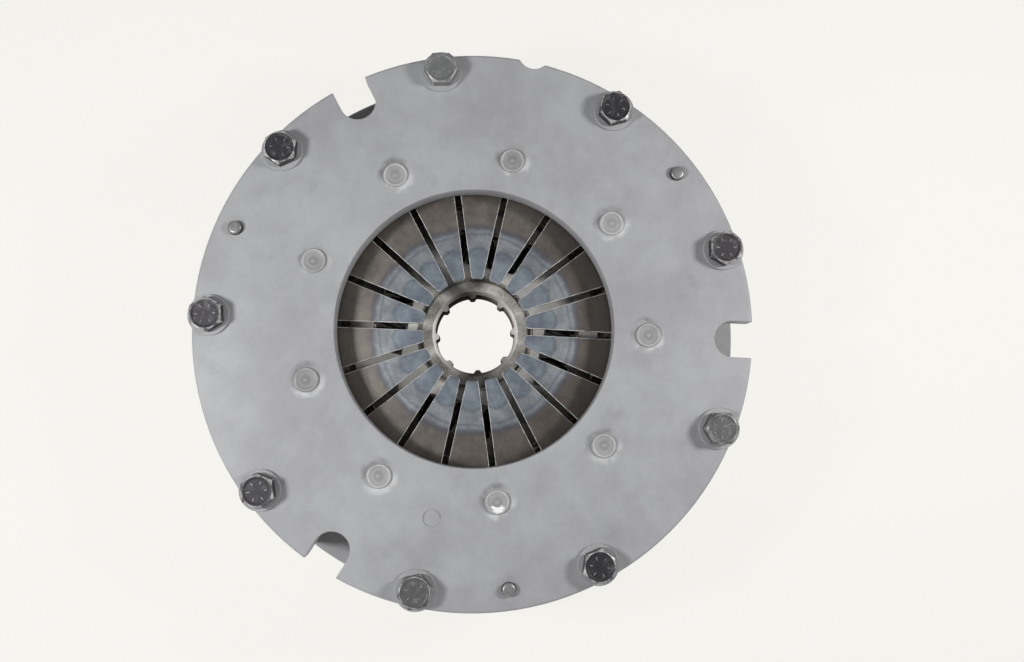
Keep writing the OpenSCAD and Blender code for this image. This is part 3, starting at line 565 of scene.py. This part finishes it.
def hub_steel():
    """Turned steel with painted highlights at two sides and the top, painted shade below, a bevel with
    painted highlights, and a bore wall painted dark as shade.
    """
    bevel_r = 0.0268
    paint = Paint("hub_steel", Specular_IOR_Level=0.04)
    radius, angle = paint.polar()
    up = paint.upward()
    grain = paint.noise(0.0013, 3, 0.8, 1.0)
    speckle = grain.between(0.4, 0.6)
    stain = paint.noise(0.011, 4, 0.6, 3.0)
    # Painted light and shade on the face: lighter towards the top and at two sides, darker at the
    # bottom.
    top = angle.math("SINE").between(0.55, 1.0)
    right = (angle - math.radians(20)).math("COSINE").between(0.35, 0.85)
    sides = (angle * 2.0 - 0.4).math("COSINE") * 0.5 + 0.5
    low = (angle.math("SINE") * -1).between(0.3, 1.0)
    colour = paint.blend(stain.between(0.35, 0.65), srgb(152, 148, 142), srgb(184, 181, 175))
    colour = paint.shade(colour, speckle * 0.44 + sides * 0.3 + top * 0.55 + low * -0.36 + 0.94)
    inside = radius.between(bevel_r + 0.0004, bevel_r)
    # Painted highlight: the bevel is bright at two sides, dull at the top and bottom.
    bevel = paint.blend(sides, srgb(140, 134, 126), srgb(255, 253, 249))
    colour = paint.blend(inside * up.between(0.3, 0.5), colour, bevel)
    # Painted shade: the bore wall is dark, lighter towards the right as painted light.
    wall = inside * up.between(0.3, 0.15)
    colour = paint.blend(wall, colour, paint.blend(right, srgb(40, 35, 30), srgb(150, 140, 128)))
    return paint.finish(colour, wall * 0.4 + 0.5, grain, 0.00016, metal=wall * -0.3 + 0.3)


def make_materials():
    return {
        "cover": cover_primer(),
        "ring": plain_primer(
            "ring_paint", srgb(176, 176, 178), srgb(162, 162, 164), srgb(206, 206, 206)),
        "back_iron": turned_iron(
            "back_plate_iron", srgb(214, 211, 206), srgb(184, 180, 174), 0.0007, 0.15),
        "cast": cast_iron("pressure_iron", srgb(112, 106, 100), srgb(80, 74, 69)),
        "rivet": rivet_primer(
            "rivet_paint", srgb(172, 171, 170), srgb(146, 145, 145), srgb(205, 205, 204)),
        "rivet_rim": rivet_primer(
            "rivet_rim", srgb(206, 206, 206), srgb(170, 170, 172), srgb(226, 226, 226)),
        "rivet_eye": plain_primer(
            "rivet_eye", srgb(160, 159, 160), srgb(132, 131, 132), srgb(190, 190, 190)),
        "spring": heat_steel(),
        "worn": worn_edge("worn_edge", srgb(146, 143, 139), srgb(252, 251, 248), 0.32, 0.54),
        "bolt_worn": worn_edge("bolt_edge", srgb(96, 95, 96), srgb(214, 212, 210), 0.4, 0.6),
        "bolt_bevel": worn_edge("bolt_bevel", srgb(74, 73, 75), srgb(204, 203, 202), 0.4, 0.64),
        "bolt_dark": dark_oxide("bolt_oxide", srgb(60, 58, 62), srgb(98, 96, 99)),
        "bolt_grey": dark_oxide("bolt_oxide_grey", srgb(100, 100, 101), srgb(134, 134, 134)),
        "bolt_pale": dark_oxide("bolt_oxide_pale", srgb(134, 135, 136), srgb(160, 160, 160)),
        "bolt_mark": plain_steel("bolt_mark", srgb(176, 175, 175), srgb(118, 117, 118), 0.5, 0.4),
        "washer": washer_primer(),
        "pin": plain_steel("pin_steel", srgb(168, 168, 168), srgb(128, 127, 126), 0.4, 0.6),
        # Painted shade: the dowel pins' sides, darker than their ends as a painted dark reflection.
        "pin_side_painted_shade": plain_steel("pin_side_painted_shade", srgb(84, 84, 86), srgb(56, 56, 58), 0.42, 0.6),
        "wire": plain_steel("wire_steel", srgb(140, 142, 146), srgb(96, 97, 100)),
        "clip": plain_steel("clip_steel", srgb(128, 129, 132), srgb(92, 92, 94), 0.42),
        "lining": friction_lining(),
        "segment": plain_steel("segment_steel", srgb(150, 150, 150), srgb(112, 111, 110)),
        "brass": plain_steel("rivet_brass", srgb(202, 162, 92), srgb(150, 112, 62), 0.34, 0.95),
        "damper": damper_steel(),
        "coil": plain_steel("coil_steel", srgb(16, 16, 17), srgb(10, 10, 11), 0.7, 0.0),
        "sinter": cast_iron("sintered_ring", srgb(190, 184, 177), srgb(164, 158, 151)),
        "hub": hub_steel(),
    }


# Mesh helpers

def add_piece(name, vertices, faces, materials, indices=None, sharp_deg=38, body="housing"):
    """A mesh object with merged corners and shading that is smooth below sharp_deg."""
    mesh = bpy.data.meshes.new(name)
    mesh.from_pydata([tuple(v) for v in vertices], [], faces)
    for material in materials:
        mesh.materials.append(material)
    if indices:
        mesh.polygons.foreach_set("material_index", indices)
    work = bmesh.new()
    work.from_mesh(mesh)
    bmesh.ops.remove_doubles(work, verts=work.verts, dist=1e-6)
    bmesh.ops.dissolve_degenerate(work, edges=work.edges, dist=1e-7)
    bmesh.ops.recalc_face_normals(work, faces=work.faces)
    work.to_mesh(mesh)
    work.free()
    mesh.shade_smooth()
    mesh.set_sharp_from_angle(angle=math.radians(sharp_deg))
    piece = bpy.data.objects.new(name, mesh)
    bpy.context.scene.collection.objects.link(piece)
    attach(piece, body)
    return piece


def lathe(profile, steps=48):
    """Vertices and faces of a closed profile of (radius, height) points turned round Z."""
    vertices = []
    for i in range(steps):
        a = 2 * math.pi * i / steps
        vertices += [(r * math.cos(a), r * math.sin(a), z) for r, z in profile]
    faces = []
    n = len(profile)
    for i in range(steps):
        here, there = i * n, (i + 1) % steps * n
        for k in range(n):
            after = (k + 1) % n
            faces.append((here + k, there + k, there + after, here + after))
    return vertices, faces


def tube(path, radius, sides=12):
    """Vertices and faces of a round wire along a path of (point, sideways, upwards) rows."""
    vertices = []
    for centre, side, up in path:
        for k in range(sides):
            a = 2 * math.pi * k / sides
            vertices.append(centre + side * (radius * math.cos(a)) + up * (radius * math.sin(a)))
    faces = [tuple(reversed(range(sides)))]
    for i in range(len(path) - 1):
        for k in range(sides):
            a, b = i * sides + k, i * sides + (k + 1) % sides
            faces.append((a, b, b + sides, a + sides))
    last = (len(path) - 1) * sides
    faces.append(tuple(last + k for k in range(sides)))
    return vertices, faces


def dress(node, material, width):
    """Gives a frame node its material and, with a width, small rounded edges."""
    piece = frame["nodes"][node]
    piece.data.materials.clear()
    piece.data.materials.append(material)
    if width:
        weld = piece.modifiers.new("weld", "WELD")
        weld.merge_threshold = 2e-6
        flat = piece.modifiers.new("flat", "DECIMATE")
        flat.decimate_type = "DISSOLVE"
        flat.angle_limit = math.radians(0.2)
        edge = piece.modifiers.new("edge", "BEVEL")
        edge.width = width
        edge.segments = 2
        edge.limit_method = "ANGLE"
        edge.angle_limit = math.radians(40)
        edge.use_clamp_overlap = False
        edge.harden_normals = False
        edge.material = 0


MATERIALS = make_materials()


def dress_frame_nodes():
    """Materials for every node, and rounded edges for larger ones whose own shape is shown."""
    looks = {
        "cover": ("cover", 0.5 * MM), "housing_ring": ("ring", 0.4 * MM),
        "back_plate": ("back_iron", 0.4 * MM), "pressure_plate": ("cast", 0.5 * MM),
        "bolt_washers": ("washer", 0.25 * MM), "dowel_pins": ("pin", 0.0),
        "fulcrum_ring_front": ("wire", 0.0), "fulcrum_ring_rear": ("wire", 0.0),
        "retractor_clips": ("clip", 0.3 * MM), "clip_screws": ("bolt_dark", 0.0),
        "facing_front": ("lining", 0.2 * MM), "facing_rear": ("lining", 0.2 * MM),
        "cushion_segments": ("segment", 0.0), "facing_rivets": ("brass", 0.0),
        "drive_plate": ("damper", 0.3 * MM), "retainer_plate": ("damper", 0.3 * MM),
        "segment_rivets": ("segment", 0.0), "stop_pins": ("segment", 0.0),
        "friction_ring_front": ("sinter", 0.0), "friction_ring_rear": ("sinter", 0.0),
        "load_washer": ("clip", 0.0), "splined_hub": ("hub", 0.35 * MM),
        "cover_bolts": ("bolt_dark", 0.0), "diaphragm_spring": ("spring", 0.0),
        "fulcrum_rivets": ("cover", 0.0), "damper_springs": ("coil", 0.0),
    }
    for node, (material, width) in looks.items():
        dress(node, MATERIALS[material], width)


# Diaphragm spring

def spring_top(radius):
    """Height of the spring's front face, in millimetres: a flat cone whose finger tips lean less."""
    seat_r, seat_z, bend_r = 110.5, 50.49, 46.0
    cone, tip = math.tan(math.radians(5.7)), math.tan(math.radians(1.7))
    if radius > bend_r:
        return seat_z + (seat_r - radius) * cone
    return seat_z + (seat_r - bend_r) * cone + (bend_r - radius) * tip


def slot_rows():
    """Radius and half angle of the slot beside a finger, from the tip out to the keyhole's end."""
    tip_r, slot_half, hole_at, hole_r = 31.0, 2.0, RIVET_CIRCLE_R / MM, 6.3
    rows = []
    for radius, corner in ((tip_r, 1.1), (tip_r + 0.2, 0.6), (tip_r + 0.7, 0.2), (tip_r + 1.4, 0.0)):
        rows.append((radius, math.asin((slot_half + corner) / radius)))
    for radius in (38.0, 45.2, 46.8, 56.0, 66.0, 76.0, 86.0, 94.0):
        rows.append((radius, math.asin(slot_half / radius)))
    for degrees in (161, 140, 120, 100, 80, 60, 40, 20, 0):
        a = math.radians(degrees)
        x, y = hole_at + hole_r * math.cos(a), hole_r * math.sin(a)
        rows.append((math.hypot(x, y), math.atan2(y, x)))
    return rows


def finger_ring(radius, half, drop, open_slot):
    """Places across one finger at a radius: its front from one slot to the next, then its back."""
    pitch, thick, chamfer, columns = math.radians(FINGER_DEG), 3.8, 0.3, 6
    step = min(chamfer / radius, (pitch - 2 * half) / 4)
    inner = [half + step + (pitch - 2 * (half + step)) * i / columns for i in range(columns + 1)]
    angles = [half, *inner, pitch - half]
    top = spring_top(radius)
    edge_drop = chamfer if open_slot else 0.0
    front, back = [], []
    for i, a in enumerate(angles):
        low = edge_drop if i in (0, len(angles) - 1) else 0.0
        place = (radius * math.cos(a), radius * math.sin(a))
        front.append((*place, top - max(low, drop)))
        back.append((*place, top - thick + max(low, drop)))
    return front + back[::-1]


def finger_faces(base, n, ring_count, open_rows):
    """Faces of one finger and its share of the rim, each with 1 on a worn edge and 0 elsewhere."""
    half_n = n // 2
    faces, worn = [], []
    for i in range(ring_count - 1):
        for j in range(n):
            wall = j in (half_n - 1, n - 1)
            if wall and i >= open_rows - 1:
                continue
            a, b = base + i * n + j, base + i * n + (j + 1) % n
            faces.append((a, b, b + n, a + n))
            worn.append(1 if j in (0, half_n - 2) and i < open_rows else 0)
    for ring, at_tip in ((0, True), (ring_count - 1, False)):
        a = base + ring * n
        for j in range(half_n - 1):
            quad = (a + j, a + j + 1, a + n - 2 - j, a + n - 1 - j)
            faces.append(quad if at_tip else quad[::-1])
            worn.append(0)
    return faces, worn


def make_diaphragm():
    """The dished spring: one finger with its share of the rim, turned round the axis."""
    rim_r, soft = 128.0, 0.4
    tip_drops = (1.2, 0.5, 0.1)
    rows = slot_rows()
    rings = []
    for i, (radius, half) in enumerate(rows):
        rings.append(finger_ring(radius, half, tip_drops[i] if i < len(tip_drops) else 0.0, True))
    hole_end = rows[-1][0]
    for radius in (hole_end + soft, 116.0, 122.0, rim_r - soft):
        rings.append(finger_ring(radius, 0.0, 0.0, False))
    rings.append(finger_ring(rim_r, 0.0, soft, False))
    vertices, faces, worn = [], [], []
    for k in range(FINGER_COUNT):
        more_faces, more_worn = finger_faces(len(vertices), len(rings[0]), len(rings), len(rows))
        faces += more_faces
        worn += more_worn
        turn = Matrix.Rotation(math.radians(FINGER_DEG * k), 3, "Z")
        vertices += [turn @ Vector(v) * MM for ring in rings for v in ring]
    materials = [MATERIALS["spring"], MATERIALS["worn"]]
    piece = add_piece("diaphragm", vertices, faces, materials, worn, 30)
    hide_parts("diaphragm_spring")
    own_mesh(piece)


# Bolts

def hex_radius(degrees, across_flats):
    """Distance from a hexagon's axis to its side, its corners at 0, 60 and so on, slightly blunted."""
    flat = across_flats / 2
    to_flat = math.radians((degrees % 60) - 30)
    return min(flat / math.cos(to_flat), flat / math.cos(math.radians(30)) * 0.988)


def thread_radius(height, degrees, crest, root, pitch):
    """Radius of a 60 degree thread with blunt crests and roots."""
    phase = (height / pitch + degrees / 360) % 1
    share = min(1.0, max(0.0, abs(phase - 0.5) * 2.6 - 0.15))
    return root + (crest - root) * share


def bolt_profile(degrees):
    """Radius and height of the bolt's outline in one direction, in millimetres above its washer."""
    flats, height, shank_r, dish = 18.0, 7.5, 6.0, 0.3
    crest, root, pitch = 5.98, 5.15, 1.75
    thread_top, tip = -60.0, -90.0
    side = hex_radius(degrees, flats)
    circle = flats * 0.475
    slope = math.tan(math.radians(30))
    shoulder = height - (side - circle) * slope
    rows = [(0.6, height - dish), (6.9, height - dish), (7.3, height - 0.06), (7.6, height)]
    rows += [(circle - 0.15, height), (circle + 0.2, height - 0.2)]
    rows += [(side - 0.14, shoulder + 0.06), (side, shoulder - 0.22), (side, 0.6), (side - 0.25, 0.35)]
    rows += [(8.65, 0.35), (8.6, 0.0), (shank_r + 0.5, 0.0), (shank_r, -0.5)]
    rows += [(shank_r, -30.0), (shank_r, thread_top + 1.2)]
    step = pitch / 5
    count = int((thread_top - tip - 1.4) / step)
    for i in range(count):
        z = thread_top - i * step
        runout = min(1.0, i / 5)
        cut = thread_radius(z, degrees, crest, root, pitch)
        rows.append((shank_r + (cut - shank_r) * runout, z))
    rows += [(root, tip + 1.0), (root - 1.0, tip), (0.6, tip)]
    return rows


def make_bolt_mesh():
    """Vertices, faces and each face's place in the row of materials, for a bolt at the origin."""
    corner_turns = [-1.5, 1.5, 8, 15, 22, 30, 38, 45, 52]
    degrees = [60 * k + a for k in range(6) for a in corner_turns]
    profiles = [bolt_profile(a) for a in degrees]
    n, steps = len(profiles[0]), len(degrees)
    vertices, faces, worn = [], [], []
    for a, profile in zip(degrees, profiles):
        cos, sin = math.cos(math.radians(a)), math.sin(math.radians(a))
        vertices += [Vector((r * cos, r * sin, z)) * MM for r, z in profile]
    top_edge, bevel, bevel_edge, side = 4, 5, 6, 7
    looks = {top_edge: BOLT_WORN, bevel: BOLT_BEVEL, bevel_edge: BOLT_WORN}
    for i in range(steps):
        here, there = i * n, (i + 1) % steps * n
        for k in range(n - 1):
            faces.append((here + k, here + k + 1, there + k + 1, there + k))
            corner = i % len(corner_turns) == 0 and k == side
            worn.append(BOLT_WORN if corner else looks.get(k, 0))
    faces.append(tuple(i * n for i in range(steps)))
    faces.append(tuple((steps - 1 - i) * n + n - 1 for i in range(steps)))
    worn += [0, 0]
    for k in range(6):
        add_dash(vertices, faces, worn, 30 + 60 * k)
    return vertices, faces, worn


def add_dash(vertices, faces, worn, degrees):
    """A small raised dash with sloping sides, pointing out from the middle of a bolt head."""
    length, width, low, high, inset = 2.0, 0.7, 7.1, 7.38, 0.2
    middle_r = 5.0
    base = len(vertices)
    turn = Matrix.Rotation(math.radians(degrees), 3, "Z")
    for z, shrink in ((low, 0.0), (high, inset)):
        for sx, sy in ((-1, -1), (1, -1), (1, 1), (-1, 1)):
            x = middle_r + sx * (length / 2 - shrink)
            vertices.append(turn @ Vector((x, sy * (width / 2 - shrink), z)) * MM)
    for i in range(4):
        j = (i + 1) % 4
        faces.append((base + i, base + j, base + 4 + j, base + 4 + i))
    faces.append((base + 4, base + 5, base + 6, base + 7))
    faces.append((base + 3, base + 2, base + 1, base))
    worn += [BOLT_MARK] * 6


def make_bolts():
    head_turns = [33, 18, 3, 28, 36, 40, 14, 25, 3]
    tones = ["bolt_dark"] * BOLT_COUNT
    tones[2] = "bolt_pale"
    tones[6] = tones[8] = "bolt_grey"
    vertices, faces, worn = make_bolt_mesh()
    for i, place in enumerate(spread(BOLT_COUNT, 20)):
        at = Matrix.Translation(turned(place, BOLT_CIRCLE_R).translation + Vector((0, 0, WASHER_TOP)))
        spin = Matrix.Rotation(math.radians(head_turns[i]), 4, "Z")
        moved = [at @ spin @ v for v in vertices]
        bevel = "bolt_bevel" if tones[i] == "bolt_dark" else tones[i]
        materials = [MATERIALS[look] for look in (tones[i], "bolt_worn", "bolt_mark", bevel)]
        piece = add_piece(f"bolt_{i + 1}", moved, faces, materials, worn, 22)
        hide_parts("cover_bolts")


# Rivet heads, pins and springs

def make_lathed(name, node, profile, places, materials, pick=None, steps=48, sharp=40):
    """A turned piece at each (angle, radius in mm); pick gives the material of a profile row."""
    vertices, faces = lathe([(r * MM, z * MM) for r, z in profile], steps)
    indices = [pick(i % len(profile)) if pick else 0 for i in range(len(faces))]
    for i, (degrees, radius) in enumerate(places):
        matrix = turned(degrees, radius * MM)
        moved = [matrix @ Vector(v) for v in vertices]
        piece = add_piece(f"{name}_{i + 1}", moved, faces, materials, indices, sharp)
        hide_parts(node)


def make_fulcrum_rivets():
    """Rivets that carry the spring's wires: pressed heads with a soft rim, ripples and a mark."""
    low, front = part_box("fulcrum_rivets")[0].z / MM, COVER_FRONT / MM
    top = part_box("fulcrum_rivets")[1].z / MM
    flange_r, shoulder_r, shank_r, head_r = 10.9, 5.3, 4.5, 6.75
    flange_t, cover_t = 2.0, 14.5
    profile = [(0.02, low), (flange_r, low), (flange_r, low + flange_t), (shoulder_r, low + flange_t)]
    profile += [(shoulder_r, front - cover_t), (shank_r, front - cover_t), (shank_r, front)]
    height = top - front
    profile += [(head_r + 0.8, front), (head_r + 0.42, front + 0.12)]
    profile += [(head_r + 0.26, front + 0.3 * height), (head_r + 0.12, front + 0.65 * height)]
    profile += [(head_r - 0.08, top - 0.1), (head_r - 0.35, top)]
    profile += [(head_r - 0.6, top - 0.12), (head_r - 0.9, top - 0.4)]
    ripples = ((5.0, 0.72), (4.1, 0.6), (3.5, 0.7), (3.0, 0.6), (2.5, 0.72), (1.9, 0.7))
    profile += [(radius, top - depth) for radius, depth in ripples]
    profile += [(1.2, top - 0.62), (0.9, top - 0.4), (0.5, top - 0.34), (0.02, top - 0.5)]
    places = [(angle, RIVET_CIRCLE_R / MM) for angle in spread(RIVET_COUNT)]
    rim, eye = range(9, 14), range(18, 21)
    make_lathed("fulcrum_rivet", "fulcrum_rivets", profile, places,
                [MATERIALS["rivet"], MATERIALS["rivet_rim"], MATERIALS["rivet_eye"]],
                lambda k: 1 if k in rim else 2 if k in eye else 0)


def make_dowel_pins():
    """Three bevelled pins; the side of each is darker than its end, painted shade for the dark
    surroundings it reflects.
    """
    low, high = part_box("dowel_pins")[0].z / MM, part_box("dowel_pins")[1].z / MM
    radius, bevel = 4.0, 0.9
    profile = [(0.02, low), (radius - bevel, low), (radius, low + bevel), (radius, high - bevel)]
    profile += [(radius - 0.25, high - 0.45), (radius - bevel, high - 0.06)]
    profile += [(radius - 1.4, high), (0.02, high)]
    # Profile row 2, the pin's side, takes the material with painted shade.
    dark, circle_r, first_deg = 2, 152.5, 40
    places = [(angle, circle_r) for angle in spread(3, first_deg)]
    make_lathed("dowel_pin", "dowel_pins", profile, places,
                [MATERIALS["pin"], MATERIALS["pin_side_painted_shade"]], lambda k: int(k == dark))


def coil_path(length, coil_r, turns, wire, steps=20):
    """Points of a coil spring along Y round the origin, its end turns lying closed."""
    rows = []
    total = turns * steps
    closed = wire * 1.04
    middle = (length - wire - 2 * closed) / (turns - 2)
    y = -(length - wire) / 2
    for i in range(total + 1):
        turn = i / steps
        a = 2 * math.pi * turn
        side = Vector((math.cos(a), 0, math.sin(a)))
        rows.append((side * coil_r + Vector((0, y, 0)), side, Vector((0, 1, 0))))
        y += (closed if turn < 1 or turn >= turns - 1 else middle) / steps
    return rows


def make_damper_springs():
    """Four coils in the disc's windows, each with a mesh of its own."""
    low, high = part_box("damper_springs")
    outer_d, wire, length, turns = 19.0, 4.0, 46.0, 7
    centre_z = (low.z + high.z) / 2
    path = coil_path(length * MM, (outer_d - wire) / 2 * MM, turns, wire * MM)
    vertices, faces = tube(path, wire / 2 * MM, 12)
    damper_r, first_deg, kept = 53.5 * MM, 80, 0.62
    for i, angle in enumerate(spread(4, first_deg)):
        matrix = turned(angle, damper_r, 0, centre_z)
        moved = [matrix @ v for v in vertices]
        name = f"damper_spring_{i + 1}"
        piece = add_piece(name, moved, faces, [MATERIALS["coil"]], None, 60, "disc")
        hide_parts("damper_springs")
        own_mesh(piece)


make_camera()
make_light()
make_floor()
bpy.context.scene.view_settings.view_transform = "Standard"
dress_frame_nodes()
make_diaphragm()
make_bolts()
make_fulcrum_rivets()
make_dowel_pins()
make_damper_springs()
